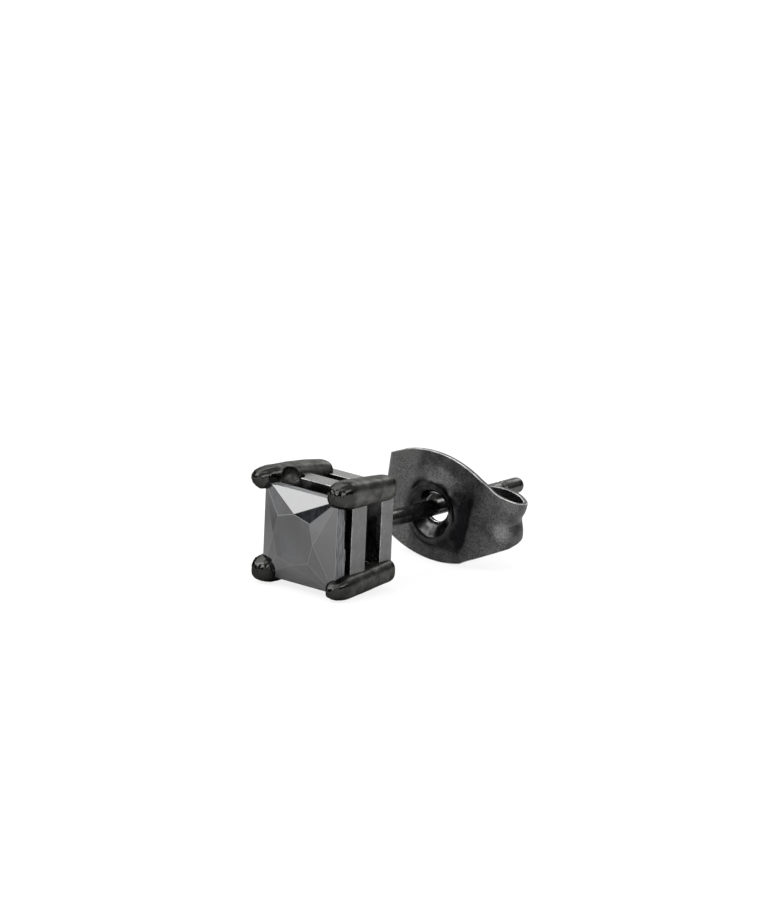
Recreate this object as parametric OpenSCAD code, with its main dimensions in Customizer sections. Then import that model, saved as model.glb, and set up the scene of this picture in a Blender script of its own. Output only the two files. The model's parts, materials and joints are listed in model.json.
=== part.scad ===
// Stud earring: a square black stone in a four-prong basket with a straight post, and a butterfly ear nut.
// Millimetres. The stone faces -Y, the post runs back along +Y, +Z is up.
// The earring lies on a surface on its two lower prongs and the edge of its nut, which tips it a little.
// The origin is the bottom centre of the box round it as it lies.

/* [Stone] */
// Side of the square stone
stone_w = 4.0; // [3.6:0.1:4.4]
// Height of the crown, from the girdle to the table
crown_h = 0.46; // [0.3:0.02:0.6]
// Thickness of the girdle band
girdle_t = 0.43; // [0.3:0.01:0.5]
// Depth of the pavilion, from the girdle to the point
pavilion_h = 2.15; // [1.8:0.05:2.2]
// How far the stone sits below the centre of the rails
stone_drop = 0.15; // [0:0.01:0.2]
// Gap left between the stone and the metal round it
seat_gap = 0.03; // [0.02:0.01:0.05]

/* [Rails] */
// Outer side of the front rail
front_rail_w = 4.26; // [4.1:0.02:4.4]
// Start of the front rail behind the front of the girdle
front_rail_y = 0.67; // [0.6:0.01:0.8]
// Depth of the front rail along the post
front_rail_t = 1.07; // [0.9:0.01:1.2]
// Outer side of the base rail
base_rail_w = 3.78; // [3.6:0.02:3.9]
// Start of the base rail behind the front of the girdle
base_rail_y = 2.96; // [2.9:0.01:3.1]
// Depth of the base rail along the post
base_rail_t = 0.76; // [0.7:0.01:0.9]
// Width of metal in the rails
rail_wall = 0.5; // [0.4:0.05:0.6]
// Thickness of the plate that closes the base rail
back_plate_t = 0.36; // [0.3:0.02:0.45]

/* [Prongs] */
// Largest thickness of a prong
prong_d = 1.2; // [1.0:0.02:1.3]
// How far the prong tips stand in front of the girdle
prong_front = 0.46; // [0.4:0.01:0.5]
// How far the prong ends stand behind the base rail
prong_back = 0.1; // [0.05:0.01:0.2]
// Sideways distance from the centre of the rails to a prong's axis at its back end
prong_in_x = 1.65; // [1.5:0.01:1.75]
// Upright distance from the centre of the rails to a prong's axis at its back end
prong_in_z = 1.72; // [1.5:0.01:1.75]

/* [Post] */
// How far the post sits below the centre of the rails
post_drop = 0.38; // [0.2:0.01:0.45]
// Diameter of the post
post_d = 0.7; // [0.65:0.01:0.75]
// Length of the post behind the base rail
post_len = 10.72; // [10:0.02:11.5]
// Distance from the tip of the post to the middle of its friction groove
groove_at = 1.4; // [1.2:0.05:1.6]
// Width of the friction groove
groove_w = 0.3; // [0.2:0.05:0.4]
// Depth of the friction groove
groove_deep = 0.06; // [0.03:0.01:0.1]

/* [Ear nut] */
// Thickness of the sheet
sheet_t = 0.2; // [0.18:0.01:0.24]
// Height of the plate at its middle
nut_h = 4.74; // [4.6:0.02:5]
// Distance from the front of the girdle to the plate
nut_y = 8.88; // [8.6:0.02:9.2]
// Turn of the nut about the post, right side down
nut_turn = 7; // [0:0.5:8]
// Radius of the bend where the plate turns back into a scroll, to the middle of the sheet
fold_r = 1.25; // [1.1:0.05:1.4]
// Radius of the scroll behind that bend, to the middle of the sheet
scroll_r = 1.42; // [1.3:0.02:1.5]
// Height of a scroll
scroll_h = 1.8; // [1.6:0.05:2]
// Gap between a scroll and the post
nut_gap = 0.03; // [0.02:0.01:0.05]
// Diameter of the hole in the plate
hole_d = 1.24; // [1.1:0.02:1.3]
// Height of the raised ring in front of the plate
ring_h = 0.35; // [0.25:0.01:0.4]

/* [Hidden] */
$fn = 64;

// Reach of a cut that passes right through
through = 20;

// Crown: the table is an octagon whose corners are given as shares of half the stone's side
stone_half = stone_w / 2;
table_mid = 0.55;
table_corner = 0.435;
// Pavilion: the middle of each side is cut in two slopes that meet at this share of half the side
keel_share = 0.6;
keel_depth = 0.45;

// Prongs: signs of X and Z, the place of the tip's axis outward from the centre of the rails, and thickness.
// The axis of a thinner prong lies further out, so that its outer line is that of a full one.
prongs = [
    // side, level, tip_x, tip_z, share of prong_d
    [-1, 1, 2.18, 2.14, 1],
    [1, 1, 2.08, 2.1, 1],
    [-1, -1, 2.02, 1.92, 1],
    [1, -1, 2.08, 1.92, 0.82],
];
SIDE = 0;
LEVEL = 1;
TIP_X = 2;
TIP_Z = 3;
THICK = 4;
prong_power = 7;
prong_steps = 16;
prong_tip_y = -prong_front;
prong_high = max([for (p = prongs) p[LEVEL] * p[TIP_Z]]);
prong_end_y = base_rail_y + base_rail_t + prong_back;

// Plate: both long edges are arcs of this radius
plate_arc_r = 5.4;
scroll_x = post_d / 2 + nut_gap + sheet_t / 2 + scroll_r;
fold_x = scroll_x + scroll_r - fold_r;
scroll_end = 205;
// Raised ring: radii of its foot, crest and inner foot
ring_foot_r = 1.79;
ring_crest_r = 1.25;
ring_inner_r = 0.98;
hole_sink = 0.06;
// Side view of a scroll's edge, which steps down in a curve from the plate's height to scroll_h
scroll_edge = [
    // distance behind the plate, share of the step that is left
    [0.12, 1],
    [0.2, 0.82],
    [0.32, 0.6],
    [0.46, 0.4],
    [0.64, 0.22],
    [0.9, 0.08],
    [1.3, 0],
    [4, 0],
];
// Height of the plate's edge where the scrolls leave it
plate_side_h = 2 * (sqrt(pow(plate_arc_r, 2) - pow(fold_x, 2)) - plate_arc_r) + nut_h;

// Lengths along the post are counted from the front of the girdle
tip_y = base_rail_y + base_rail_t + post_len;

// The surface touches the lower prongs and the front edge of the plate, and the post rises by rest_tilt
nut_low = plate_arc_r - (plate_arc_r - nut_h / 2) * cos(nut_turn);
nut_edge_y = nut_y - sheet_t / 2;
rest_tilt = min([for (p = prongs, i = [0:prong_steps]) if (p[LEVEL] < 0) tilt_at(p, prong_share(i))]);
rest_z = nut_low * cos(rest_tilt) - nut_edge_y * sin(rest_tilt);
front_y = -prong_front * cos(rest_tilt) - (prong_high + post_drop) * sin(rest_tilt);
mid_y = (front_y + tip_y * cos(rest_tilt)) / 2;

// Point of a prong's axis at a share s of its length, from its back end to its tip
function prong_point(p, s) = [
    p[SIDE] * (prong_in_x + (p[TIP_X] - prong_in_x) * s),
    prong_end_y + (prong_tip_y - prong_end_y) * s,
    p[LEVEL] * (prong_in_z + (p[TIP_Z] - prong_in_z) * s + prong_d / 2 * (1 - p[THICK]))
];
// Radius of a prong at a share s of its length: nearly even, with rounded ends
function prong_r(p, s) = p[THICK] * prong_d / 2 * sqrt(1 - pow(abs(2 * s - 1), prong_power));
// Shares of the length, closer together near the ends
function prong_share(i) = (1 - cos(180 * i / prong_steps)) / 2;
// Rise of the line from the nut's lowest edge to the underside of a lower prong at a share s of its length
function tilt_at(p, s) = atan2(nut_low - prong_low(p, s), nut_edge_y - prong_point(p, s)[1]);
// Depth of a lower prong's underside below the post
function prong_low(p, s) = prong_r(p, s) * cos(prong_slope(p)) - prong_point(p, s)[2] - post_drop;
function prong_slope(p) = atan2(p[TIP_Z] - prong_in_z, prong_end_y - prong_tip_y);

// Faceted stone, grown by g on every side; its girdle's front is at y = 0
module cut_stone(g) {
    a = stone_half + g;
    m = stone_half * table_mid + g;
    c = stone_half * table_corner + g;
    k = stone_half * keel_share + g;
    front = -crown_h - g;
    keel_y = girdle_t + pavilion_h * keel_depth + g;
    point_y = girdle_t + pavilion_h + g;
    turns = [0, 90, 180, 270];
    points = concat(
        [for (t = turns) spun([a, 0, a], t)],
        [for (t = turns) spun([c, front, c], t)],
        [for (t = turns) spun([0, front, m], t)],
        [for (t = turns) spun([a, girdle_t, a], t)],
        [for (t = turns) spun([0, keel_y, k], t)],
        [[0, point_y, 0]]
    );
    // Rows of points: girdle front, table corners, table middles, girdle back, keels, then the point
    table = [for (i = [0:3]) each [4 + i, 8 + i]];
    faces = concat(
        [[for (i = [7:-1:0]) table[i]]],
        [for (i = [0:3]) [i, 4 + i, 8 + i]],
        [for (i = [0:3]) [i, 8 + (i + 3) % 4, 4 + i]],
        [for (i = [0:3]) [i, 8 + i, (i + 1) % 4]],
        [for (i = [0:3]) [i, (i + 1) % 4, 12 + (i + 1) % 4, 12 + i]],
        [for (i = [0:3]) [12 + i, 12 + (i + 1) % 4, 16 + i]],
        [for (i = [0:3]) [12 + i, 16 + i, 20]],
        [for (i = [0:3]) [12 + (i + 1) % 4, 20, 16 + i]]
    );
    translate([0, 0, -stone_drop]) polyhedron(points, faces);
}
// Point p turned about the Y axis
function spun(p, t) = [p[0] * cos(t) - p[2] * sin(t), p[1], p[0] * sin(t) + p[2] * cos(t)];

// Square rail round the Y axis, from y to y + t
module rail(w, y, t) {
    translate([-w / 2, y, -w / 2]) cube([w, t, w]);
}

// One prong: a round bar with rounded ends, along its own leaning axis
module prong(p) {
    start = prong_point(p, 0);
    run = prong_point(p, 1) - start;
    long = norm(run);
    profile = [for (i = [0:prong_steps]) [prong_r(p, prong_share(i)), long * prong_share(i)]];
    translate(start)
        rotate([0, acos(run[2] / long), atan2(run[1], run[0])])
            rotate_extrude() polygon(profile);
}

// Post along +Y from the back plate, with a friction groove near its rounded tip
module post() {
    r = post_d / 2;
    base = base_rail_y + base_rail_t - back_plate_t / 2;
    groove = tip_y - groove_at;
    rotate([-90, 0, 0]) {
        translate([0, 0, base]) cylinder(r = r, h = groove - groove_w / 2 - base);
        translate([0, 0, base]) cylinder(r = r - groove_deep, h = tip_y - r - base);
        translate([0, 0, groove + groove_w / 2]) cylinder(r = r, h = tip_y - r - groove - groove_w / 2);
        translate([0, 0, tip_y - r]) sphere(r = r);
    }
}

// Lays a piece down: it comes with the post on the Y axis and the front of the girdle at y = 0
module lying() {
    translate([0, -mid_y, rest_z]) rotate([rest_tilt, 0, 0]) children();
}

module stone() {
    color("black") lying() translate([0, 0, post_drop]) cut_stone(0);
}

module prong_setting() {
    color("dimgray") lying() {
        translate([0, 0, post_drop]) difference() {
            union() {
                rail(front_rail_w, front_rail_y, front_rail_t);
                rail(base_rail_w, base_rail_y, base_rail_t);
                for (p = prongs) prong(p);
            }
            cut_stone(seat_gap);
            rail(front_rail_w - 2 * rail_wall, 0, base_rail_y + base_rail_t - back_plate_t);
        }
        post();
    }
}

// Outline of the plate seen along the post
module plate_outline() {
    intersection_for(side = [-1, 1])
        translate([0, side * (plate_arc_r - nut_h / 2)]) circle(r = plate_arc_r, $fn = 128);
}

// Raised ring round the hole, one sheet thick
module ring() {
    half = sheet_t / 2;
    rotate([-90, 0, 0]) rotate_extrude()
        polygon([
            [hole_d / 2, hole_sink - half],
            [ring_inner_r, -half],
            [ring_crest_r - half / 2, -ring_h - half],
            [ring_crest_r + half / 2, -ring_h - half],
            [ring_foot_r, -half],
            [ring_foot_r, half],
            [ring_crest_r + half / 2, half - ring_h],
            [ring_crest_r - half / 2, half - ring_h],
            [ring_inner_r, half],
            [hole_d / 2, hole_sink + half],
        ]);
}

// Upright band of sheet of radius r round the point x, y, from one angle to another
module band(x, y, r, from, to) {
    translate([x, y, -through / 2]) rotate(from)
        rotate_extrude(angle = to - from) translate([r - sheet_t / 2, 0]) square([sheet_t, through]);
}

// One scroll, on the +X side: the bend from the plate, then the curl that ends where it grips the post
module scroll() {
    band(fold_x, fold_r, fold_r, -90, 0);
    band(scroll_x, fold_r, scroll_r, 0, scroll_end);
}

// Side view of the whole strip, along X: full height at the plate, stepping down along the scrolls
module strip_side() {
    step = (plate_side_h - scroll_h) / 2;
    edge = concat(
        [[-1, nut_h], [scroll_edge[0][0], nut_h]],
        [for (e = scroll_edge) [e[0], scroll_h / 2 + step * e[1]]]
    );
    under = [for (i = [len(edge) - 1:-1:0]) [edge[i][0], -edge[i][1]]];
    rotate([90, 0, 90]) linear_extrude(through, center = true) polygon(concat(edge, under));
}

// The strip of sheet without its hole: the plate, and a scroll on each side
module strip() {
    intersection() {
        union() {
            cube([2 * fold_x, sheet_t, through], center = true);
            scroll();
            mirror([1, 0, 0]) scroll();
        }
        strip_side();
        rotate([90, 0, 0]) linear_extrude(through, center = true) plate_outline();
    }
}

module ear_nut() {
    color("dimgray") lying() translate([0, nut_y, 0]) rotate([0, nut_turn, 0]) {
        difference() {
            strip();
            rotate([90, 0, 0]) cylinder(r = ring_foot_r, h = 2 * sheet_t, center = true);
        }
        ring();
    }
}

stone();
prong_setting();
ear_nut();
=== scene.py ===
"""A stud earring with a square black stone, as it lies on white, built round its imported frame."""

import json
import math
from collections import namedtuple

import bmesh
import bpy
from mathutils import Matrix, Vector


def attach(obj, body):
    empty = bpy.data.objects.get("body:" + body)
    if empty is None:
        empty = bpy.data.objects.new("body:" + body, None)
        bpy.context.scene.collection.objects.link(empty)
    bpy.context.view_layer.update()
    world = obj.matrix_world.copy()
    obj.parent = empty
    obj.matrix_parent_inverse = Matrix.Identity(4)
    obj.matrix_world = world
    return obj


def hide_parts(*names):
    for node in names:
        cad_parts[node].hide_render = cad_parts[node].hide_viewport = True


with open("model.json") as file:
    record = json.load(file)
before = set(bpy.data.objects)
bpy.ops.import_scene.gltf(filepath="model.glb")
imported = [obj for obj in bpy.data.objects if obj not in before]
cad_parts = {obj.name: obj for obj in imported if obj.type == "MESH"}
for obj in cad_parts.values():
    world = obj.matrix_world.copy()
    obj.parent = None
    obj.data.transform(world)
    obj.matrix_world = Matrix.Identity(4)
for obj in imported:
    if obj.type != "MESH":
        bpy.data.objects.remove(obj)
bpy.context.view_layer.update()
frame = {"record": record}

# The stone: one square black stone in a princess cut, with polished facets and a frosted girdle, held by the
# prongs. Its table is an octagon between slim crown facets, and its point hides in the basket. The back edge
# of its right side is chipped.

STONE_HALF = 2.0
CROWN_H = 0.46
TABLE_MID = 1.10
TABLE_CORNER = 0.87
GIRDLE_T = 0.43
KEEL_HALF = 1.2
KEEL_Y = 1.3975
POINT_Y = 2.58
# The upper left corner keeps a short stretch of girdle line between its facets, up to here: x and y
SHOULDER = (-1.68, -0.027)
# The setting's middle is above the post's axis, and the stone sits low in the setting
POST_DROP = 0.38
STONE_DROP = 0.15
# Every edge of the stone that turns by more degrees than this is broken
FACET_TURN = 4
FACET_EDGE = 0.015
# The chipped back edge on the right: share of the half side, up from the middle, and the thickness left
CHIPPED_EDGE = [
    (0.82, 0.46),
    (0.78, 0.60),
    (0.36, 0.61),
    (0.33, 0.64),
    (0.12, 0.62),
    (0.04, 0.52),
    (-0.5, 0.51),
    (-0.6, 0.45),
]
# The girdle's faces stand square to the front: their normals lean along the post by less than this
GIRDLE_LEAN = 0.1
# How strongly the polished and the frosted faces bend light, and their least and greatest roughness
POLISHED_IOR = 2.1
FROSTED_IOR = 1.3
POLISHED_ROUGHNESS = (0.03, 0.08)
FROSTED_ROUGHNESS = (0.25, 0.75)
# A tint of the stone's shine that is too faint to see, and the plain grey of its broken edges, a painted
# highlight
FAINT_TINT = (1, 1, 0.998, 1)
STONE_EDGE_SHEEN = (0.05, 0.051, 0.054, 1)
# How many marks of each kind lie in a millimetre
STREAKS_PER_MM = 7
CLOUDS_PER_MM = 0.9
SCRATCHES_PER_MM = 16

# Pieces are drawn in millimetres as the jeweller holds the stud: the post on the Y axis, the front of the
# girdle at y = 0. LAID brings them to the frame, by the back face that rests against the ear.
MM = 0.001
BACK_FACE_Y = 3.72
back_face = next(m for m in frame["record"]["mounts"] if m["name"] == "ear_lobe")
post_axis = Vector(back_face["axis"])
LAID = (
    Matrix.Translation(Vector(back_face["pos_m"]) - post_axis * BACK_FACE_Y * MM)
    @ Matrix.Rotation(math.atan2(post_axis.z, post_axis.y), 4, "X")
    @ Matrix.Scale(MM, 4)
)
# Points closer than this are one point
SAME_POINT = 1e-5


def mesh_of(name, points, faces):
    """A mesh of points and faces, with its normals turned outward."""
    work = bmesh.new()
    corners = [work.verts.new(p) for p in points]
    for face in faces:
        work.faces.new([corners[i] for i in face])
    bmesh.ops.remove_doubles(work, verts=work.verts, dist=SAME_POINT)
    bmesh.ops.recalc_face_normals(work, faces=work.faces)
    mesh = bpy.data.meshes.new(name)
    work.to_mesh(mesh)
    work.free()
    return mesh


def store(mesh, name, domain, values):
    """Stores a number for every face, edge or point of a mesh."""
    mesh.attributes.new(name, "FLOAT", domain).data.foreach_set("value", values)


# Faces that a bevel makes are put in this material slot until a piece is laid down
EDGE_SLOT = 1


def worked(mesh, *steps):
    """The mesh after a row of modifiers, each a kind and its settings, all at millimetre size."""
    for _ in range(EDGE_SLOT + 1):
        mesh.materials.append(None)
    blank = bpy.data.objects.new("blank", mesh)
    bpy.context.scene.collection.objects.link(blank)
    for kind, settings in steps:
        modifier = blank.modifiers.new(kind, kind)
        for key, value in settings.items():
            if kind == "NODES" and key != "node_group":
                modifier[socket_id(modifier.node_group, key)] = value
            else:
                setattr(modifier, key, value)
    seen = blank.evaluated_get(bpy.context.evaluated_depsgraph_get())
    result = bpy.data.meshes.new_from_object(seen)
    bpy.data.objects.remove(blank)
    return result


def socket_id(tree, name):
    """The identifier of a node tree's input."""
    return next(s.identifier for s in tree.interface.items_tree if s.name == name and s.in_out == "INPUT")


def laid(name, mesh, material, slot, body, *stands_for, smooth_under=0):
    """Lays a finished mesh down in the frame as a piece, smooth across edges below so many degrees."""
    # The edge slot is empty after a bevel, and may hold the metal where a node tree has made the mesh
    bevelled = len(mesh.materials) > EDGE_SLOT and mesh.materials[EDGE_SLOT] is None
    # The bevel faces are marked, and the materials paint them paler: worn plating and a painted highlight on
    # metal, a painted highlight on the stone
    worn = [float(bevelled and face.material_index == EDGE_SLOT) for face in mesh.polygons]
    store(mesh, "worn", "FACE", worn)
    mesh.transform(LAID)
    mesh.materials.clear()
    mesh.materials.append(material)
    mesh.polygons.foreach_set("material_index", [0] * len(worn))
    mesh.shade_flat()
    if smooth_under:
        mesh.shade_smooth()
        mesh.set_sharp_from_angle(angle=math.radians(smooth_under))
    piece = bpy.data.objects.new(name, mesh)
    bpy.context.scene.collection.objects.link(piece)
    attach(piece, body)
    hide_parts(*stands_for)


def broken_edge(width, segments, over=None):
    """A bevel on edges that turn by more than so many degrees, or else on weighed edges, in the edge slot."""
    if over is None:
        limit = {"limit_method": "WEIGHT", "use_clamp_overlap": False}
    else:
        limit = {"limit_method": "ANGLE", "angle_limit": math.radians(over)}
    return "BEVEL", {"width": width, "segments": segments, "material": EDGE_SLOT, **limit}


def add(tree, kind, inputs=None, **settings):
    """A new node, with its settings, and a value or a link for each named input."""
    made = tree.nodes.new(kind)
    for key, value in settings.items():
        setattr(made, key, value)
    for socket, source in (inputs or {}).items():
        if isinstance(source, bpy.types.NodeSocket):
            tree.links.new(source, made.inputs[socket])
        else:
            made.inputs[socket].default_value = source
    return made


def maths(tree, operation, a, b=0.0, c=0.0):
    """The result of some arithmetic on values or links."""
    return add(tree, "ShaderNodeMath", {0: a, 1: b, 2: c}, operation=operation).outputs[0]


def ranged(tree, value, start, end, low=0.0, high=1.0, **settings):
    """low where a value is at start, high where it is at end, and in proportion between them."""
    given = {"Value": value, "From Min": start, "From Max": end, "To Min": low, "To Max": high}
    return add(tree, "ShaderNodeMapRange", given, **settings).outputs[0]


def noise(tree, place, scale, detail, roughness=0.5):
    """A cloudy pattern of values round 0.5."""
    given = {"Vector": place, "Scale": scale, "Detail": detail, "Roughness": roughness}
    return add(tree, "ShaderNodeTexNoise", given).outputs[0]


def ramp(tree, value, *stops):
    """A colour that runs through stops, each a place from 0 to 1 and a colour, as the value rises."""
    node = add(tree, "ShaderNodeValToRGB", {"Fac": value})
    while len(node.color_ramp.elements) < len(stops):
        node.color_ramp.elements.new(1.0)
    for stop, (at, colour) in zip(node.color_ramp.elements, stops):
        stop.position = at
        stop.color = (*colour, 1)
    return node.outputs["Color"]


def stored(tree, name):
    """The number that a mesh stores under a name."""
    return add(tree, "ShaderNodeAttribute", attribute_name=name).outputs["Fac"]


def new_material(name):
    """An empty material: its tree, its Principled shader, and the material."""
    material = bpy.data.materials.new(name)
    material.use_nodes = True
    tree = material.node_tree
    return tree, tree.nodes["Principled BSDF"], material


def mixed(tree, share, a, b):
    """The colour that is a where share is 0 and b where it is 1."""
    # A mix node takes its two colours at sockets 6 and 7, and gives one at socket 2
    return add(tree, "ShaderNodeMix", {0: share, 6: a, 7: b}, data_type="RGBA").outputs[2]


def turned(point, quarter):
    """A point (x, y, z) turned by quarters of a turn about the Y axis."""
    x, y, z = point
    for _ in range(quarter % 4):
        x, z = -z, x
    return (x, y, z)


def cut_stone(grow=0.0, chipped=()):
    """Points and faces of the cut stone, grown by a gap where it serves as a cutter."""
    half = STONE_HALF + grow
    front = -CROWN_H - grow
    mid = TABLE_MID + grow
    corner = TABLE_CORNER + grow
    keel = KEEL_HALF + grow
    back = GIRDLE_T
    # Points by number: 0 girdle's front corners, 4 table's corners, 8 table's middles, 12 girdle's back
    # corners, 16 keels, 20 the point, 21 the shoulder, then the chipped edge
    points = [turned((half, 0, half), q) for q in range(4)]
    points += [turned((corner, front, corner), q) for q in range(4)]
    points += [turned((0, front, mid), q) for q in range(4)]
    points += [turned((half, back, half), q) for q in range(4)]
    points += [turned((0, KEEL_Y + grow, keel), q) for q in range(4)]
    points += [(0, POINT_Y + grow, 0), (*SHOULDER, half)]
    faces = [[i for q in range(3, -1, -1) for i in (8 + q, 4 + q)]]
    for q in range(4):
        after = (q + 1) % 4
        edge = [12 + after, 12 + q]
        if q == 3 and chipped:
            edge[1:1] = range(len(points), len(points) + len(chipped))
            points += [(half, thick, -share * half) for share, thick in reversed(chipped)]
        # The shoulder breaks the front edge of the top side, so three of the faces beside it have its point
        above = (21,) if q == 0 else ()
        shoulder = (21,) if q == 1 else ()
        faces += [(q, 4 + q, 8 + q), (q, 8 + q, *(above or (after,)))]
        faces += [(q, *shoulder, 8 + (q + 3) % 4, 4 + q)]
        faces += [(q, *above, after, *edge)]
        faces += [(a, b, 16 + q) for a, b in zip(edge, edge[1:])]
        faces += [(12 + q, 16 + q, 20), (12 + after, 20, 16 + q)]
    lift = POST_DROP - STONE_DROP
    return [(x, y, z + lift) for x, y, z in points], faces


def bend_light(shader, ior):
    """Sets how strongly a stone face bends light, and tints its shine too faintly to see. The
    export keeps that only beside a tinted shine.
    """
    shader.inputs["IOR"].default_value = ior
    shader.inputs["Specular Tint"].default_value = FAINT_TINT


def polished_stone():
    """Polished black stone with faint upright streaks."""
    tree, shader, material = new_material("black_stone")
    place = add(tree, "ShaderNodeTexCoord").outputs["Object"]
    stretched = add(tree, "ShaderNodeMapping", {"Vector": place, "Scale": (1.0, 1.0, 0.3)}).outputs[0]
    streaks = noise(tree, stretched, STREAKS_PER_MM / MM, 5, 0.7)
    clouds = noise(tree, place, CLOUDS_PER_MM / MM, 4, 0.55)
    both = maths(tree, "MULTIPLY", streaks, clouds)
    depth = ramp(tree, both, (0.20, (0.0, 0.0, 0.0)), (0.36, (0.016, 0.0175, 0.0205)))
    # The bevelled facet edges are painted a paler grey, a painted highlight
    colour = mixed(tree, stored(tree, "worn"), depth, STONE_EDGE_SHEEN)
    tree.links.new(colour, shader.inputs["Base Color"])
    tree.links.new(ranged(tree, clouds, 0.0, 1.0, *POLISHED_ROUGHNESS), shader.inputs["Roughness"])
    bend_light(shader, POLISHED_IOR)
    return material


def frosted_girdle():
    """The stone's girdle, which is left frosted, with scratches that run round it."""
    tree, shader, material = new_material("frosted_girdle")
    place = add(tree, "ShaderNodeTexCoord").outputs["Object"]
    stretched = add(tree, "ShaderNodeMapping", {"Vector": place, "Scale": (0.12, 1.0, 0.12)}).outputs[0]
    scratches = noise(tree, stretched, SCRATCHES_PER_MM / MM, 2)
    frost = ramp(tree, scratches, (0.38, (0.05, 0.051, 0.054)), (0.62, (0.15, 0.152, 0.156)))
    # The bevelled girdle edges are painted a paler grey, a painted highlight
    colour = mixed(tree, stored(tree, "worn"), frost, STONE_EDGE_SHEEN)
    tree.links.new(colour, shader.inputs["Base Color"])
    tree.links.new(ranged(tree, scratches, 0.35, 0.65, *FROSTED_ROUGHNESS), shader.inputs["Roughness"])
    bend_light(shader, FROSTED_IOR)
    return material


stone = worked(mesh_of("stone", *cut_stone(chipped=CHIPPED_EDGE)), broken_edge(FACET_EDGE, 1, FACET_TURN))
on_girdle = [int(abs(face.normal.y) < GIRDLE_LEAN) for face in stone.polygons]
laid("faceted_stone", stone, polished_stone(), "black_stone", "stud", "stone")
stone.materials.append(frosted_girdle())
stone.polygons.foreach_set("material_index", on_girdle)

# The prongs: four cast bars that stand at the corners and lean outward, each with its end pushed over a
# corner of the stone. They are black-plated, satin along their length and burnished where they were pushed.

# Side and level are signs. The axis runs from the back to the tip, and the claw bends its last stretch
# outward, or inward where it is negative. Further is how much further forward a tip reaches than the rest,
# and radii go from the back to the tip in even steps
Prong = namedtuple("Prong", "side level tip_x tip_z back_x back_z end_y claw_x claw_z further radii")
PRONGS = [
    Prong(-1, 1, 2.16, 2.11, 1.66, 1.72, 3.52, 0.24, -0.21, 0, (0.56, 0.58, 0.56, 0.50, 0.56)),
    Prong(1, 1, 2.08, 2.10, 1.66, 1.78, 3.66, 0.02, 0.0, 0, (0.52, 0.56, 0.58, 0.61, 0.64)),
    Prong(-1, -1, 1.93, 1.91, 1.65, 1.72, 3.84, -0.10, -0.05, 0.14, (0.60, 0.60, 0.60, 0.61, 0.67)),
    Prong(1, -1, 2.08, 2.01, 1.65, 1.82, 3.84, 0.0, 0.0, 0, (0.51, 0.50, 0.51, 0.51, 0.50)),
]
PRONG_TIP_Y = -0.45
# How bluntly the tips and the back ends are rounded, and how late the claws bend
TIP_POWER = 6
END_POWER = 22
CLAW_POWER = 8
# The ends keep this much of their squared width, which flat caps close
END_SPECK = 1e-4
PRONG_STATIONS = 110
SEAT_GAP = 0.03
# How far behind the tips the claws are fully burnished, and where that has faded out
BURNISHED = 0.45
UNBURNISHED = 1.1
# The claws are painted darker by this much, a painted shade
CLAW_PAINTED_SHADE = -0.3
# The middle values of the two patterns in the cast skin, which neither lift nor lower it
LUMP_MIDDLE = 0.55
WRINKLE_MIDDLE = 0.5
# The stretches of the blotches' pattern over which the plating turns from its own colour to the paler one,
# and from whole to worn bare at the edges, which is also a painted highlight, and how far the blotches sway
# its roughness
PALES_OVER = (0.3, 0.7)
WEAR_AND_SHEEN_OVER = (0.36, 0.6)
ROUGHNESS_SWAY = 0.15
# The hollow that a round cutter left behind the claw of the upper left prong: centre, and its half sizes
BUR_AT = (-1.30, 0.90, 2.08 + POST_DROP)
BUR_SIZE = (0.54, 0.50, 0.46)


def between(table, at, column=1):
    """A column of a table at a place between its rows, on a smooth curve through them."""
    low = max([0] + [i for i in range(len(table) - 1) if table[i][0] <= at])
    a, b = table[low], table[low + 1]
    before, after = table[max(low - 1, 0)], table[min(low + 2, len(table) - 1)]
    span = b[0] - a[0]
    start = (b[column] - before[column]) / (b[0] - before[0]) * span
    end = (after[column] - a[column]) / (after[0] - a[0]) * span
    s = (at - a[0]) / span
    return (
        (2 * s**3 - 3 * s**2 + 1) * a[column]
        + (s**3 - 2 * s**2 + s) * start
        + (3 * s**2 - 2 * s**3) * b[column]
        + (s**3 - s**2) * end
    )


def prong_rows():
    """A chain of points along each prong's axis, closer together at its ends, with the bar's radius there."""
    points, edges, radii = [], [], []
    for prong in PRONGS:
        steps = len(prong.radii) - 1
        table = [(i / steps, radius) for i, radius in enumerate(prong.radii)]
        for i in range(PRONG_STATIONS + 1):
            share = (1 - math.cos(math.pi * i / PRONG_STATIONS)) / 2
            power = TIP_POWER if share > 0.5 else END_POWER
            round_end = math.sqrt(max(1 - abs(2 * share - 1) ** power, END_SPECK))
            radii.append(between(table, share) * round_end)
            if i:
                edges.append((len(points) - 1, len(points)))
            out = prong.back_x * (1 - share) + prong.tip_x * share + prong.claw_x * share**CLAW_POWER
            high = prong.back_z * (1 - share) + prong.tip_z * share + prong.claw_z * share**CLAW_POWER
            along = prong.end_y * (1 - share) + (PRONG_TIP_Y - prong.further) * share
            points.append((prong.side * out, along, prong.level * high + POST_DROP))
    mesh = bpy.data.meshes.new("prong_rows")
    mesh.from_pydata(points, edges, [])
    store(mesh, "radius", "POINT", radii)
    return mesh


def new_tree(name, kind, inputs, outputs):
    """A node group with named outputs and inputs, each of these a name, a socket type and a value."""
    tree = bpy.data.node_groups.new(name, kind)
    for label, socket_type, value in inputs:
        socket = tree.interface.new_socket(label, in_out="INPUT", socket_type="NodeSocket" + socket_type)
        if value is not None:
            socket.default_value = value
    for label, socket_type in outputs:
        tree.interface.new_socket(label, in_out="OUTPUT", socket_type="NodeSocket" + socket_type)
    return tree, tree.nodes.new("NodeGroupInput").outputs, tree.nodes.new("NodeGroupOutput").inputs


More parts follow.
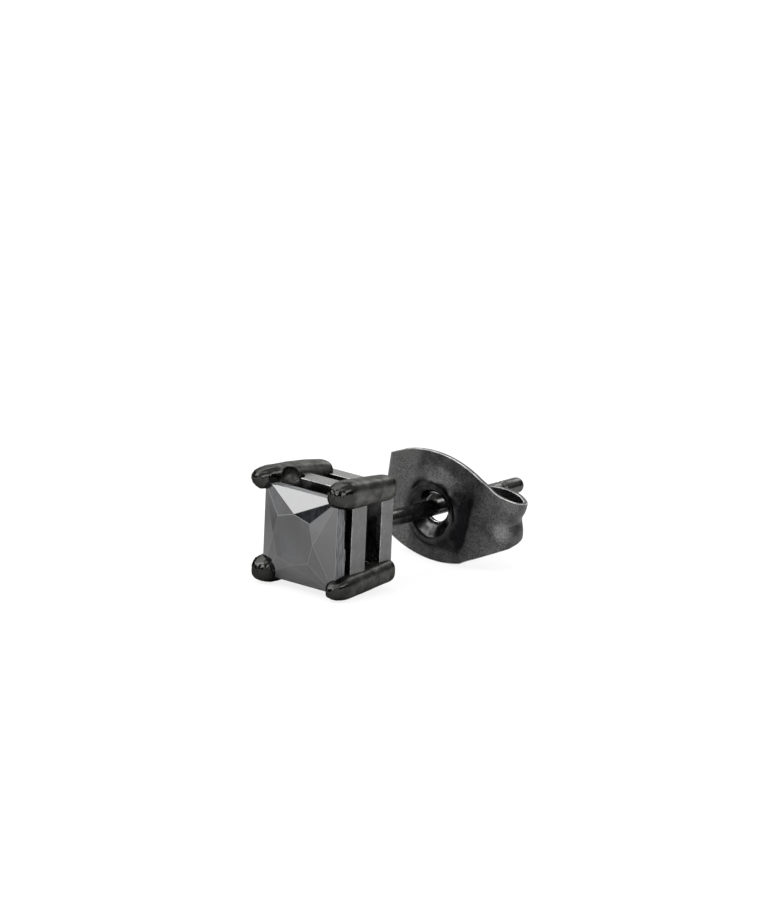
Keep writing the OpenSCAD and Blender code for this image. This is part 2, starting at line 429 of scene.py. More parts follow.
def cast_bars():
    """Sweeps a squarish round section along each chain, gives it a cast skin, and cuts the seats."""
    tree, given, result = new_tree(
        "cast_bars",
        "GeometryNodeTree",
        [
            ("Rows", "Geometry", None),
            ("Sides", "Int", 56),
            ("Squareness", "Float", 2.7),
            ("Lumps Per Mm", "Float", 1.5),
            ("Lump Depth", "Float", 0.03),
            ("Wrinkles Per Mm", "Float", 4.6),
            ("Wrinkle Depth", "Float", 0.06),
            ("Burnished From", "Float", 0.5),
            ("Seed", "Float", 4.0),
            ("Merge Within", "Float", 0.0005),
            ("Seat", "Object", None),
            ("Bur", "Object", None),
            ("Metal", "Material", None),
        ],
        [("Bars", "Geometry")],
    )

    def vectors(operation, a, b=(0, 0, 0)):
        return add(tree, "ShaderNodeVectorMath", {0: a, 1: b}, operation=operation).outputs[0]

    radius = add(tree, "GeometryNodeInputNamedAttribute", {"Name": "radius"}, data_type="FLOAT").outputs[0]
    axes = add(tree, "GeometryNodeMeshToCurve", {"Mesh": given["Rows"]}).outputs[0]
    upright = add(tree, "GeometryNodeSetCurveNormal", {"Curve": axes}, mode="Z_UP").outputs[0]
    # The section: a circle pushed out to an even power norm, so that its corners are full
    round_bar = {"Resolution": given["Sides"], "Radius": 1.0}
    circle = add(tree, "GeometryNodeCurvePrimitiveCircle", round_bar).outputs[0]
    spot = add(tree, "GeometryNodeInputPosition").outputs[0]
    parts = add(tree, "ShaderNodeSeparateXYZ", {0: vectors("ABSOLUTE", spot)}).outputs
    powers = [maths(tree, "POWER", parts[axis], given["Squareness"]) for axis in "XY"]
    root = maths(tree, "DIVIDE", -1.0, given["Squareness"])
    norm = maths(tree, "POWER", maths(tree, "ADD", *powers), root)
    wide = add(tree, "ShaderNodeVectorMath", {0: spot, "Scale": norm}, operation="SCALE").outputs[0]
    section = add(tree, "GeometryNodeSetPosition", {"Geometry": circle, "Position": wide}).outputs[0]
    swept = add(
        tree,
        "GeometryNodeCurveToMesh",
        {"Curve": upright, "Profile Curve": section, "Scale": radius, "Fill Caps": True},
    ).outputs[0]
    # The cast skin: broad lumps all along, and tight wrinkles where the claws were burnished
    place = add(tree, "GeometryNodeInputPosition").outputs[0]
    normal = add(tree, "GeometryNodeInputNormal").outputs[0]
    moved = vectors("ADD", place, add(tree, "ShaderNodeCombineXYZ", {"X": given["Seed"]}).outputs[0])
    lumps = noise(tree, moved, given["Lumps Per Mm"], 2.0)
    squeezed = vectors("MULTIPLY", moved, (1.0, 1.0, 0.5))
    wrinkles = add(
        tree,
        "ShaderNodeTexNoise",
        {"Vector": squeezed, "Scale": given["Wrinkles Per Mm"], "Detail": 1.5, "Distortion": 1.6},
        noise_type="RIDGED_MULTIFRACTAL",
    ).outputs[0]
    along = add(tree, "ShaderNodeSeparateXYZ", {0: place}).outputs["Y"]
    burnished = ranged(tree, along, given["Burnished From"], 0.0, interpolation_type="SMOOTHSTEP")
    lift = maths(tree, "MULTIPLY", maths(tree, "SUBTRACT", lumps, LUMP_MIDDLE), given["Lump Depth"])
    raised = maths(tree, "SUBTRACT", wrinkles, WRINKLE_MIDDLE)
    fold = maths(tree, "MULTIPLY", raised, given["Wrinkle Depth"])
    push = maths(tree, "MULTIPLY_ADD", fold, burnished, lift)
    offset = add(tree, "ShaderNodeVectorMath", {0: normal, "Scale": push}, operation="SCALE").outputs[0]
    skin = add(tree, "GeometryNodeSetPosition", {"Geometry": swept, "Offset": offset}).outputs[0]
    close = {"Geometry": skin, "Distance": given["Merge Within"]}
    merged = add(tree, "GeometryNodeMergeByDistance", close).outputs[0]
    for tool in ("Seat", "Bur"):
        shape = add(tree, "GeometryNodeObjectInfo", {"Object": given[tool]}).outputs["Geometry"]
        cut = add(
            tree,
            "GeometryNodeMeshBoolean",
            {"Mesh 1": merged, "Mesh 2": shape},
            operation="DIFFERENCE",
            solver="EXACT",
        )
        merged = cut.outputs["Mesh"]
    whole = add(tree, "GeometryNodeRealizeInstances", {"Geometry": merged}).outputs[0]
    coated = add(tree, "GeometryNodeSetMaterial", {"Geometry": whole, "Material": given["Metal"]}).outputs[0]
    tree.links.new(coated, result["Bars"])
    return tree


def plated_finish():
    """Plated metal as a shader group: blotches, grain, burnished stretches, and painted light and shade."""
    tree, given, result = new_tree(
        "plated_finish",
        "ShaderNodeTree",
        [
            ("Metal", "Color", (0.06, 0.06, 0.06, 1)),
            ("Pale Metal", "Color", (0.1, 0.1, 0.1, 1)),
            ("Blotch Size", "Float", 0.4),
            ("Blotch Depth", "Float", 1.0),
            ("Grain Size", "Float", 0.06),
            ("Grain Depth", "Float", 0.004),
            ("Grain Contrast", "Float", 0.5),
            ("Satin", "Float", 0.4),
            ("Burnish", "Float", 0.12),
            ("Burnish Mask", "Float", 0.0),
            ("Tone", "Float", 0.0),
            ("Bare Metal", "Color", (0.34, 0.34, 0.33, 1)),
            ("Worn Mask", "Float", 0.0),
            ("Rubbed", "Float", 0.1),
        ],
        [("Colour", "Color"), ("Roughness", "Float"), ("Normal", "Vector")],
    )
    place = add(tree, "ShaderNodeTexCoord").outputs["Object"]
    blotch = noise(tree, place, maths(tree, "DIVIDE", 1 / MM, given["Blotch Size"]), 4.0, 0.6)
    grain = noise(tree, place, maths(tree, "DIVIDE", 1 / MM, given["Grain Size"]), 2.0, 0.7)
    matt = maths(tree, "SUBTRACT", 1.0, given["Burnish Mask"])
    swing = maths(tree, "SUBTRACT", blotch, 0.5)
    uneven = maths(tree, "MULTIPLY_ADD", swing, given["Blotch Depth"], 0.5)
    # The tone lifts or lowers the plating's colour where light or shade is painted: painted shade at the
    # claws, painted light and shade on the nut
    share = ranged(tree, maths(tree, "ADD", uneven, given["Tone"]), *PALES_OVER)
    plating = mixed(tree, share, given["Metal"], given["Pale Metal"])
    contrast = maths(tree, "MULTIPLY", given["Grain Contrast"], matt)
    speck = maths(tree, "MULTIPLY_ADD", maths(tree, "SUBTRACT", grain, 0.5), contrast, 1.0)
    grained = add(tree, "ShaderNodeVectorMath", {0: plating, "Scale": speck}, operation="SCALE").outputs[0]
    # Bevelled edges turn to bare metal in patches: partly worn plating, partly a painted highlight along the
    # edges
    patches = ranged(tree, blotch, *WEAR_AND_SHEEN_OVER, given["Rubbed"])
    rubbed = maths(tree, "MULTIPLY", given["Worn Mask"], patches)
    tree.links.new(mixed(tree, rubbed, grained, given["Bare Metal"]), result["Colour"])
    gloss = ranged(tree, given["Burnish Mask"], 0.0, 1.0, given["Satin"], given["Burnish"])
    tree.links.new(maths(tree, "MULTIPLY_ADD", swing, ROUGHNESS_SWAY, gloss), result["Roughness"])
    height = maths(tree, "MULTIPLY", grain, matt)
    deep = maths(tree, "MULTIPLY", given["Grain Depth"], MM)
    bump = add(tree, "ShaderNodeBump", {"Height": height, "Distance": deep, "Strength": 1.0})
    tree.links.new(bump.outputs[0], result["Normal"])
    return tree


PLATED = plated_finish()


def plated(name, metal, pale, edge_tint, masks=None, **settings):
    """A black-plated metal with the shared finish and its own values, and masks made in its own tree."""
    tree, shader, material = new_material(name)
    skin = add(tree, "ShaderNodeGroup", node_tree=PLATED)
    skin.inputs["Metal"].default_value = (*metal, 1)
    skin.inputs["Pale Metal"].default_value = (*pale, 1)
    for label, value in settings.items():
        skin.inputs[label.replace("_", " ").title()].default_value = value
    tree.links.new(stored(tree, "worn"), skin.inputs["Worn Mask"])
    for label, mask in (masks or {}).items():
        tree.links.new(mask(tree), skin.inputs[label])
    tree.links.new(skin.outputs["Colour"], shader.inputs["Base Color"])
    tree.links.new(skin.outputs["Roughness"], shader.inputs["Roughness"])
    tree.links.new(skin.outputs["Normal"], shader.inputs["Normal"])
    shader.inputs["Metallic"].default_value = 1.0
    shader.inputs["Specular Tint"].default_value = (edge_tint, edge_tint, edge_tint, 1)
    return material


def claw_mask(tree):
    """1 at the claws, which were burnished, and 0 along the bars. The front lies towards -Y."""
    place = add(tree, "ShaderNodeTexCoord").outputs["Object"]
    y = add(tree, "ShaderNodeSeparateXYZ", {0: place}).outputs["Y"]
    tip = (LAID @ Vector((0, PRONG_TIP_Y, 0))).y
    ends = (tip + UNBURNISHED * MM, tip + BURNISHED * MM)
    return ranged(tree, y, *ends, interpolation_type="SMOOTHSTEP")


def claws_painted_darker(tree):
    """Painted shade: the plating is painted darker at the claws."""
    return maths(tree, "MULTIPLY", claw_mask(tree), CLAW_PAINTED_SHADE)


def bur_ball():
    """The round cutter, where it cut."""
    ball = bmesh.new()
    bmesh.ops.create_icosphere(ball, subdivisions=4, radius=1)
    bmesh.ops.scale(ball, vec=BUR_SIZE, verts=ball.verts)
    bmesh.ops.translate(ball, vec=BUR_AT, verts=ball.verts)
    mesh = bpy.data.meshes.new("bur")
    ball.to_mesh(mesh)
    ball.free()
    return mesh


def cutter(name, mesh):
    """An object that only lends its shape to a cut."""
    made = bpy.data.objects.new(name, mesh)
    bpy.context.scene.collection.objects.link(made)
    return made


satin_black = plated(
    "satin_black",
    (0.034, 0.034, 0.032),
    (0.118, 0.117, 0.109),
    0.5,
    masks={"Burnish Mask": claw_mask, "Tone": claws_painted_darker},
    blotch_size=0.45,
    grain_size=0.07,
    grain_depth=0.006,
    grain_contrast=1.2,
    satin=0.38,
    burnish=0.10,
)
seat = cutter("seat", mesh_of("seat", *cut_stone(grow=SEAT_GAP)))
bur = cutter("bur", bur_ball())
bars = worked(
    prong_rows(),
    ("NODES", {"node_group": cast_bars(), "Seat": seat, "Bur": bur, "Metal": satin_black}),
)
bpy.data.objects.remove(seat)
laid("prongs", bars, satin_black, "plated_setting", "stud", "prong_setting", smooth_under=40)

# The rails: two square hoops cast with the prongs, one under the girdle with a sloped seat for the stone,
# and one at the back that a thin plate closes. Their faces are smooth, with lightly broken edges.

FRONT_RAIL_HALF = 2.13
# How far in from its outside each corner of the front rail is, and its place along the post
FRONT_RAIL_SECTION = [(0, 1.744), (0, 0.81), (0.5, 0.96), (0.5, 1.744)]
BASE_RAIL_HALF = 1.89
BASE_RAIL_Y = 2.96
PLATE_Y = 3.36
RECESS_WALL = 0.26
# Edges that turn by more degrees than this are broken
RAIL_TURN = 25
RAIL_EDGE = 0.024


def square_loft(name, loops, closed):
    """Joins square loops, each a half side and a place along the post, into a hoop or a capped cup."""
    points = [
        (sx * half, y, sz * half + POST_DROP)
        for half, y in loops
        for sx, sz in ((-1, -1), (1, -1), (1, 1), (-1, 1))
    ]
    count = len(loops)
    faces = []
    for i in range(count if closed else count - 1):
        a, b = 4 * i, 4 * ((i + 1) % count)
        faces += [(a + k, a + (k + 1) % 4, b + (k + 1) % 4, b + k) for k in range(4)]
    if not closed:
        faces += [(0, 1, 2, 3), tuple(4 * count - 4 + k for k in range(4))]
    return mesh_of(name, points, faces)


# The rails are painted paler than the prongs, though cast and plated with them: painted light for the
# brightness their faces catch
rail_black = plated(
    "rail_black",
    (0.095, 0.096, 0.094),
    (0.135, 0.136, 0.134),
    0.7,
    blotch_size=0.5,
    grain_size=0.09,
    grain_depth=0.003,
    grain_contrast=0.4,
    satin=0.26,
)
front_rail = square_loft("front_rail", [(FRONT_RAIL_HALF - d, y) for d, y in FRONT_RAIL_SECTION], closed=True)
base_rail = square_loft(
    "base_rail",
    [
        (BASE_RAIL_HALF, BACK_FACE_Y),
        (BASE_RAIL_HALF, BASE_RAIL_Y),
        (BASE_RAIL_HALF - RECESS_WALL, BASE_RAIL_Y),
        (BASE_RAIL_HALF - RECESS_WALL, PLATE_Y),
    ],
    closed=False,
)
bur_mark = ("BOOLEAN", {"operation": "DIFFERENCE", "solver": "EXACT", "object": bur})
for name, rail in (("front_rail", front_rail), ("base_rail", base_rail)):
    finished = worked(rail, broken_edge(RAIL_EDGE, 3, RAIL_TURN), bur_mark)
    laid(name, finished, rail_black, "plated_setting", "stud", "prong_setting", smooth_under=12)
bpy.data.objects.remove(bur)

# The post: a straight drawn wire, soldered to the back plate with a small fillet, with a rounded tip and the
# shallow groove that the ear nut snaps on. It is black-plated and brightly polished.

POST_R = 0.35
POST_TIP_Y = 14.44
GROOVE_Y = 13.04
GROOVE_HALF = 0.15
GROOVE_DEEP = 0.06
FILLET = 0.16
POST_SIDES = 96
# The wire starts this far inside the back plate, and its curves are cut into so many steps
POST_ROOT = 0.1
FILLET_STEPS = 8
GROOVE_STEPS = 12
TIP_STEPS = 16


def lathe(name, profile, sides):
    """Turns a profile of (radius, y) about the Y axis; a radius of 0 closes an end."""
    points, faces = [], []
    for radius, y in profile:
        for k in range(sides):
            angle = 2 * math.pi * k / sides
            points.append((radius * math.cos(angle), y, radius * math.sin(angle)))
    for i in range(len(profile) - 1):
        for k in range(sides):
            after = (k + 1) % sides
            faces.append((i * sides + k, i * sides + after, (i + 1) * sides + after, (i + 1) * sides + k))
    return mesh_of(name, points, faces)


def post_profile():
    """The post's half outline, from inside the back plate to the tip."""
    root_y = PLATE_Y + POST_ROOT
    outline = [(0, root_y), (POST_R + FILLET, root_y), (POST_R + FILLET, BACK_FACE_Y)]
    for i in range(1, FILLET_STEPS + 1):
        angle = math.pi / 2 * i / FILLET_STEPS
        radius = POST_R + FILLET * (1 - math.sin(angle))
        outline.append((radius, BACK_FACE_Y + FILLET * (1 - math.cos(angle))))
    for i in range(GROOVE_STEPS + 1):
        share = i / GROOVE_STEPS
        dip = GROOVE_DEEP * math.sin(math.pi * share) ** 2
        outline.append((POST_R - dip, GROOVE_Y + GROOVE_HALF * (2 * share - 1)))
    for i in range(TIP_STEPS + 1):
        angle = math.pi / 2 * i / TIP_STEPS
        outline.append((POST_R * math.cos(angle), POST_TIP_Y - POST_R + POST_R * math.sin(angle)))
    return outline


polished_wire = plated(
    "polished_wire",
    (0.045, 0.045, 0.044),
    (0.095, 0.095, 0.092),
    0.6,
    blotch_size=0.3,
    grain_size=0.06,
    grain_depth=0.002,
    grain_contrast=0.8,
    satin=0.26,
)
wire = lathe("post", post_profile(), POST_SIDES)
laid("post", wire, polished_wire, "plated_setting", "stud", "prong_setting", smooth_under=35)

# The ear nut: one blanked strip of thin steel. A ring is raised round its hole, and its two long ends are
# bent back and rolled into scrolls that grip the post. It is blasted fine and black-plated.

NUT_Y = 8.88
NUT_TURN = 7
SHEET_T = 0.2
# The plate's long edges are arcs, the lower one with its middle a little to the left
PLATE_ARC_R = 5.4
NUT_HALF_H = 2.37
FOOT_ARC_X = -0.25
FOOT_ARC_H = 2.40
HOLE_R = 0.62
EMBOSSED_R = 1.82
# The raised ring in section, from the hole outward: radius, place behind the plate, and how far it sits low
RING = [
    (0.62, 0.09, 0.05),
    (0.72, 0.06, 0.09),
    (0.84, -0.05, 0.15),
    (0.96, -0.20, 0.20),
    (1.06, -0.30, 0.22),
    (1.15, -0.345, 0.22),
    (1.28, -0.33, 0.20),
    (1.50, -0.17, 0.12),
    (1.78, -0.02, 0.02),
    (1.90, 0, 0),
]
NUT_EDGE = 0.035
# The strip turns back round a bend, and then rolls in round a scroll, whose middle is this far out, until it
# has turned by so many degrees
BEND_R = 1.25
SCROLL_R = 1.42
SCROLL_X = 1.90
SCROLL_END = 295
# Place of a fold at the strip's top and foot, how sharply the sheet turns there, where 2 is round, and how
# far out its scroll reaches
Fold = namedtuple("Fold", "top foot turn reach")
FOLDS = {1: Fold(2.07, 1.66, 1.6, 3.32), -1: Fold(2.10, 2.10, 2.7, 3.36)}
# Half heights of the strip along each scroll: degrees round the bend, then above and below the post
STRIP_EDGE = {
    1: [
        (10, 1.86, 1.85),
        (20, 1.74, 1.68),
        (30, 1.57, 1.52),
        (40, 1.43, 1.37),
        (50, 1.33, 1.24),
        (62, 1.23, 1.11),
        (76, 1.13, 1.00),
        (90, 1.03, 0.90),
        (112, 0.90, 0.80),
        (140, 0.79, 0.78),
        (170, 0.82, 0.80),
        (210, 0.85, 0.82),
        (SCROLL_END, 0.85, 0.84),
    ],
    -1: [
        (12, 1.80, 1.88),
        (30, 1.59, 1.66),
        (50, 1.37, 1.45),
        (62, 1.22, 1.34),
        (76, 1.08, 1.22),
        (90, 0.97, 1.15),
        (112, 0.88, 1.10),
        (140, 0.85, 1.06),
        (210, 0.85, 1.04),
        (245, 0.80, 0.86),
        (270, 0.74, 0.64),
        (SCROLL_END, 0.70, 0.58),
    ],
}
# The dent behind the right bend: degrees round it, height, their spreads, depth, and where it is in full
DENT = {"turn": 98, "height": 0.02, "wide": 48, "high": 0.36, "deep": 0.24, "from": 40}
# A painted highlight on a high spot below the dent: centre, and how far it spreads
PAINTED_HIGHLIGHT_AT = (3.13, 0.65, -0.26)
PAINTED_HIGHLIGHT_R = 0.28
# Where the plating changes, each pair from where to where: the ring's polish round its low middle, the end
# of the plate's own finish behind it, and the left side that is painted paler, a painted light
POLISH_LOW = 0.2
POLISH_ENDS = (1.35, 1.65)
PLATE_ENDS = (0.15, 0.5)
LEFT_PALES = (0.9, 1.9)
# A band of painted shade between the ring and the right fold: its start, how far it clears the ring, its end
# before the fold, whose line leans, and how it fades above and below its middle
BAND_STARTS = (0.4, 1.1)
BAND_CLEARS = (1.2, 1.8)
BAND_ENDS = (-0.15, 0.1)
FOLD_X = 1.87
FOLD_LEAN = 0.105
BAND_MIDDLE = -0.25
BAND_FADES = (0.2, 2.0)
# How much each patch lifts or lowers the plating's colour: painted light on the left side and the scrolls,
# painted shade on the band and the ring, and a painted highlight on the high spot
PAINTED_TONES = {"left": 0.36, "band": -0.42, "ring": -0.12, "scrolls": 0.03, "rubbed": 0.5}
FOLD_ROWS = 28
EDGE_ROWS = 56
PLATE_RINGS = 9
EMBOSS_RINGS = 26
SCROLL_STEPS = 120


def plate_edge(x, upper):
    """Height of the plate's edge at x: its long edges are arcs."""
    if upper:
        return NUT_HALF_H - PLATE_ARC_R + math.sqrt(PLATE_ARC_R**2 - x**2)
    return PLATE_ARC_R - FOOT_ARC_H - math.sqrt(PLATE_ARC_R**2 - (x - FOOT_ARC_X) ** 2)


def fold_line(side):
    """Points of the line where the plate turns back on one side, from its top to its foot."""
    top = Vector((side * FOLDS[side].top, plate_edge(side * FOLDS[side].top, upper=True)))
    foot = Vector((side * FOLDS[side].foot, plate_edge(side * FOLDS[side].foot, upper=False)))
    return [top.lerp(foot, i / FOLD_ROWS) for i in range(FOLD_ROWS + 1)]


def plate_rim():
    """The plate's outline, once round: over the top, down the right fold, back under and up the left."""
    right, left = fold_line(1), fold_line(-1)
    rim = []
    for i in range(EDGE_ROWS):
        x = left[0].x + (right[0].x - left[0].x) * i / EDGE_ROWS
        rim.append((x, plate_edge(x, upper=True)))
    rim += right[:-1]
    for i in range(EDGE_ROWS):
        x = right[-1].x + (left[-1].x - right[-1].x) * i / EDGE_ROWS
        rim.append((x, plate_edge(x, upper=False)))
    return rim + left[:0:-1]


def scroll_point(side, degrees, fold, high):
    """A point of a scroll: how far round the bend, the fold's x beside it, and its height."""
    turn = math.radians(degrees)
    reach = FOLDS[side].reach
    if degrees <= 90:
        out = math.sin(turn)
        x = fold + (reach - fold) * out
        y = BEND_R * (1 - math.sqrt(max(1 - out ** FOLDS[side].turn, 0)))
    else:
        ease = (degrees - 90) / (SCROLL_END - 90)
        x = SCROLL_X + (SCROLL_R + (reach - SCROLL_X - SCROLL_R) * (1 - ease)) * math.sin(turn)
        y = BEND_R - SCROLL_R * math.cos(turn)
    if side > 0:
        off = ((degrees - DENT["turn"]) / DENT["wide"]) ** 2 + ((high - DENT["height"]) / DENT["high"]) ** 2
        dent = DENT["deep"] * math.exp(-off) * min(degrees / DENT["from"], 1)
        x -= dent * math.sin(turn)
        y += dent * math.cos(turn)
    return (side * x, y, high)


def nut_sheet():
    """The middle surface of the nut: a plate in rays and rings round its hole, and a grid for each scroll."""
    rim = plate_rim()
    points, faces = [], []
    radii = [HOLE_R + (EMBOSSED_R - HOLE_R) * i / EMBOSS_RINGS for i in range(EMBOSS_RINGS + 1)]
    for radius in radii:
        for x, z in rim:
            stretch = radius / math.hypot(x, z)
            points.append((x * stretch, between(RING, radius, 1), z * stretch - between(RING, radius, 2)))
    for i in range(1, PLATE_RINGS + 1):
        for x, z in rim:
            start = radii[-1] / math.hypot(x, z)
            stretch = start + (1 - start) * i / PLATE_RINGS
            points.append((x * stretch, 0.0, z * stretch))
    count = len(rim)
    for i in range(len(radii) + PLATE_RINGS - 1):
        for k in range(count):
            after = (k + 1) % count
            faces.append((i * count + k, i * count + after, (i + 1) * count + after, (i + 1) * count + k))
    for side in (1, -1):
        rows = fold_line(side)
        edges = [(0, rows[0].y, -rows[-1].y), *STRIP_EDGE[side]]
        first = len(points)
        for step in range(SCROLL_STEPS + 1):
            degrees = SCROLL_END * step / SCROLL_STEPS
            top, foot = between(edges, degrees, 1), -between(edges, degrees, 2)
            for i, row in enumerate(rows):
                high = top + (foot - top) * i / FOLD_ROWS
                points.append(scroll_point(side, degrees, abs(row.x), high))
        wide = FOLD_ROWS + 1
        for step in range(SCROLL_STEPS):
            for i in range(FOLD_ROWS):
                a = first + step * wide + i
                faces.append((a, a + 1, a + wide + 1, a + wide))
    return mesh_of("nut_sheet", points, faces)


def mark_rim(mesh):
    """Weighs the edges along the cut rim for a bevel. Until now the rim's faces are in the edge slot."""
    beside = {}
    for face in mesh.polygons:
        for key in face.edge_keys:
            beside.setdefault(key, set()).add(face.material_index)
    weights = [float(len(beside[edge.key]) > 1) for edge in mesh.edges]
    store(mesh, "bevel_weight_edge", "EDGE", weights)
    mesh.polygons.foreach_set("material_index", [0] * len(mesh.polygons))


def step_up(value, start, end):
    """0 below start and 1 above end, with a soft step between."""
    share = min(max((value - start) / (end - start), 0), 1)
    return share * share * (3 - 2 * share)


def mark_nut(mesh):
    """Stores where the die polished the raised ring, and where light and shade are painted into the plating.
    """
    polish, tone = [], []
    for vertex in mesh.vertices:
        x, y, z = vertex.co
        radius = math.hypot(x, z + POLISH_LOW)
        plate = 1 - step_up(y, *PLATE_ENDS)
        ring = plate * (1 - step_up(radius, *POLISH_ENDS))
        across = step_up(x, *BAND_STARTS) * (1 - step_up(x - FOLD_X - FOLD_LEAN * z, *BAND_ENDS))
        up_and_down = 1 - step_up(abs(z - BAND_MIDDLE), *BAND_FADES)
        shares = {
            "left": plate * step_up(-x, *LEFT_PALES) * (1 - ring),
            "band": plate * across * up_and_down * step_up(radius, *BAND_CLEARS),
            "ring": ring,
            "scrolls": 1 - plate,
            # A painted highlight on the high spot below the dent
            "rubbed": math.exp(-math.dist(vertex.co, PAINTED_HIGHLIGHT_AT) ** 2 / PAINTED_HIGHLIGHT_R**2),
        }
        polish.append(ring)
        tone.append(sum(PAINTED_TONES[part] * share for part, share in shares.items()))
    store(mesh, "polish", "POINT", polish)
    store(mesh, "tone", "POINT", tone)


blasted_black = plated(
    "blasted_black",
    (0.010, 0.010, 0.011),
    (0.120, 0.120, 0.118),
    0.6,
    masks={"Burnish Mask": lambda tree: stored(tree, "polish"), "Tone": lambda tree: stored(tree, "tone")},
    blotch_size=0.6,
    blotch_depth=0.5,
    grain_size=0.055,
    grain_depth=0.02,
    grain_contrast=3.2,
    satin=0.38,
    burnish=0.19,
    rubbed=0.4,
    bare_metal=(0.5, 0.5, 0.49, 1),
)
cut_sheet = {"thickness": SHEET_T, "offset": 0.0, "use_even_offset": True, "material_offset_rim": EDGE_SLOT}
nut = worked(nut_sheet(), ("SOLIDIFY", cut_sheet))
mark_rim(nut)
nut = worked(nut, broken_edge(NUT_EDGE, 2))
mark_nut(nut)
nut.transform(Matrix.Translation((0, NUT_Y, 0)) @ Matrix.Rotation(math.radians(NUT_TURN), 4, "Y"))
laid("butterfly_nut", nut, blasted_black, "plated_nut", "clutch", "ear_nut", smooth_under=35)

# The studio: a wide white floor, a pale sky that darkens towards the horizon, and soft lights out of view.
# Each is placed by where a facet of the stone or a face of a rail mirrors it.

FLOOR_HALF = 1.5
FLOOR_WHITE = 0.8
# Share of its own white that the floor shows to the camera, so that its shadows stay faint in the picture
FLOOR_CLEAR = 0.8
FLOOR_GLOW = 1.04
# A soft patch of shade on the left, which the left and front facets mirror and the camera doesn't see: its
# middle and radius, and the share of white left in its middle
SHADE_AT = (-0.014, -0.009, 0)
SHADE_R = 0.024
SHADE_LEFT = 0.26
# The sky's shade, from the horizon at 0 to overhead at 1
SKY = [(0.0, (0.07, 0.07, 0.072)), (0.26, (0.08, 0.08, 0.082)), (1.0, (1.0, 1.0, 1.02))]


def white_floor():
    """White paper. To the camera it glows evenly for the most part, and its patch of shade is left out."""
    material = bpy.data.materials.new("white_floor")
    material.use_nodes = True
    tree = material.node_tree
    tree.nodes.clear()
    seen = add(tree, "ShaderNodeLightPath").outputs["Is Camera Ray"]
    place = add(tree, "ShaderNodeTexCoord").outputs["Object"]
    away = add(tree, "ShaderNodeVectorMath", {0: place, 1: SHADE_AT}, operation="DISTANCE").outputs["Value"]
    shade = ranged(tree, away, 0.0, SHADE_R, SHADE_LEFT * FLOOR_WHITE, FLOOR_WHITE)
    lit = maths(tree, "MAXIMUM", shade, maths(tree, "MULTIPLY", seen, FLOOR_WHITE))
    paper = add(tree, "ShaderNodeBsdfDiffuse", {"Color": lit}).outputs[0]
    glow = add(tree, "ShaderNodeEmission", {"Strength": FLOOR_GLOW}).outputs[0]
    clear = maths(tree, "MULTIPLY", seen, FLOOR_CLEAR)
    surface = add(tree, "ShaderNodeMixShader", {0: clear, 1: paper, 2: glow}).outputs[0]
    add(tree, "ShaderNodeOutputMaterial", {"Surface": surface})
    return material


def pale_sky():
    """A sky that is dark towards the horizon and pale above, and plain white to the camera."""
    world = bpy.data.worlds.new("sky")
    world.use_nodes = True
    tree = world.node_tree
    tree.nodes.clear()
    way = add(tree, "ShaderNodeTexCoord").outputs["Generated"]
    height = add(tree, "ShaderNodeSeparateXYZ", {0: way}).outputs["Z"]
    seen = add(tree, "ShaderNodeLightPath").outputs["Is Camera Ray"]
    tint = mixed(tree, seen, ramp(tree, height, *SKY), (1, 1, 1, 1))
    background = add(tree, "ShaderNodeBackground", {"Color": tint}).outputs[0]
    add(tree, "ShaderNodeOutputWorld", {"Surface": background})
    return world


floor_mesh = bpy.data.meshes.new("floor")
corners = [(sx * FLOOR_HALF, sy * FLOOR_HALF, 0) for sx, sy in ((-1, -1), (1, -1), (1, 1), (-1, 1))]
floor_mesh.from_pydata(corners, [], [(0, 1, 2, 3)])
floor = bpy.data.objects.new("floor", floor_mesh)
bpy.context.scene.collection.objects.link(floor)
floor_mesh.materials.append(white_floor())
bpy.context.scene.world = pale_sky()


def towards(azimuth, elevation):
    """The direction with this azimuth, counted from -Y towards +X, and this elevation."""
    a, e = math.radians(azimuth), math.radians(elevation)
    return Vector((math.sin(a) * math.cos(e), -math.cos(a) * math.cos(e), math.sin(e)))


Softbox = namedtuple("Softbox", "name azimuth elevation wide high radiance")
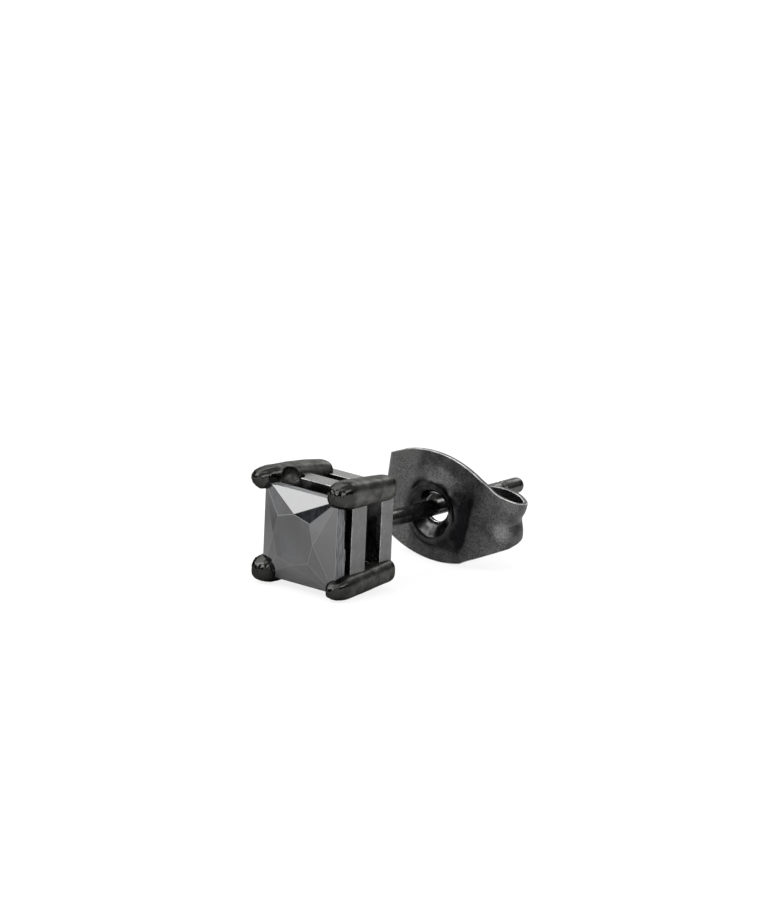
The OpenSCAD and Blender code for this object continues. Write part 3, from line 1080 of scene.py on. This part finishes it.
# Width and height are the degrees that each covers, seen from the earring
SOFTBOXES = [
    Softbox("front_left_box", -45, 30, 25, 14, 4.6),
    Softbox("upper_left_box", -92, 54, 70, 34, 3.0),
    Softbox("low_card", -54, 9.5, 22, 11, 0.92),
    Softbox("front_strip", 4, 19, 7, 20, 8.0),
    Softbox("back_left_box", -139, 21, 44, 22, 1.9),
    Softbox("back_box", -171, 38, 22, 13, 7.0),
    Softbox("right_box", 68, 17, 40, 22, 4.4),
    Softbox("back_right_box", 108, 32, 26, 18, 3.5),
    Softbox("top_box", 30, 74, 50, 24, 1.4),
    Softbox("front_top_box", -20, 43, 32, 17, 5.5),
]
SOFTBOX_AWAY = 0.5
for box in SOFTBOXES:
    lamp = bpy.data.lights.new(box.name, "AREA")
    lamp.shape = "RECTANGLE"
    lamp.size = 2 * SOFTBOX_AWAY * math.tan(math.radians(box.wide / 2))
    lamp.size_y = 2 * SOFTBOX_AWAY * math.tan(math.radians(box.high / 2))
    lamp.energy = box.radiance * math.pi * lamp.size * lamp.size_y
    holder = bpy.data.objects.new(box.name, lamp)
    bpy.context.scene.collection.objects.link(holder)
    holder.visible_camera = False
    way = towards(box.azimuth, box.elevation)
    holder.location = way * SOFTBOX_AWAY
    holder.rotation_euler = way.to_track_quat("Z", "Y").to_euler()

bpy.context.scene.view_settings.view_transform = "Standard"

# The camera: a long lens from the front right, a little above the stone and slightly rolled.

VIEW_AZIMUTH = 39.758
VIEW_ELEVATION = 13.324
VIEW_ROLL = 3.878
AWAY_MM = 305.768
PX_PER_MM = 23.558
# Where the frame's origin falls in the picture
ORIGIN_PX = (404.313, 567.3)
PICTURE = (767, 907)
SENSOR = 36.0

back = towards(VIEW_AZIMUTH, VIEW_ELEVATION)
level = towards(VIEW_AZIMUTH + 90, 0)
above = back.cross(level)
roll = math.radians(VIEW_ROLL)
right = math.cos(roll) * level + math.sin(roll) * above
up = math.cos(roll) * above - math.sin(roll) * level
across = (ORIGIN_PX[0] - PICTURE[0] / 2) / PX_PER_MM
down = (ORIGIN_PX[1] - PICTURE[1] / 2) / PX_PER_MM
eye = bpy.data.cameras.new("camera")
eye.sensor_width = SENSOR
eye.lens = PX_PER_MM * AWAY_MM / PICTURE[1] * SENSOR
camera = bpy.data.objects.new("camera", eye)
bpy.context.scene.collection.objects.link(camera)
facing = Matrix((right, up, back)).transposed().to_4x4()
camera.matrix_world = Matrix.Translation((AWAY_MM * back - across * right + down * up) * MM) @ facing
bpy.context.scene.camera = camera

bpy.context.view_layer.update()
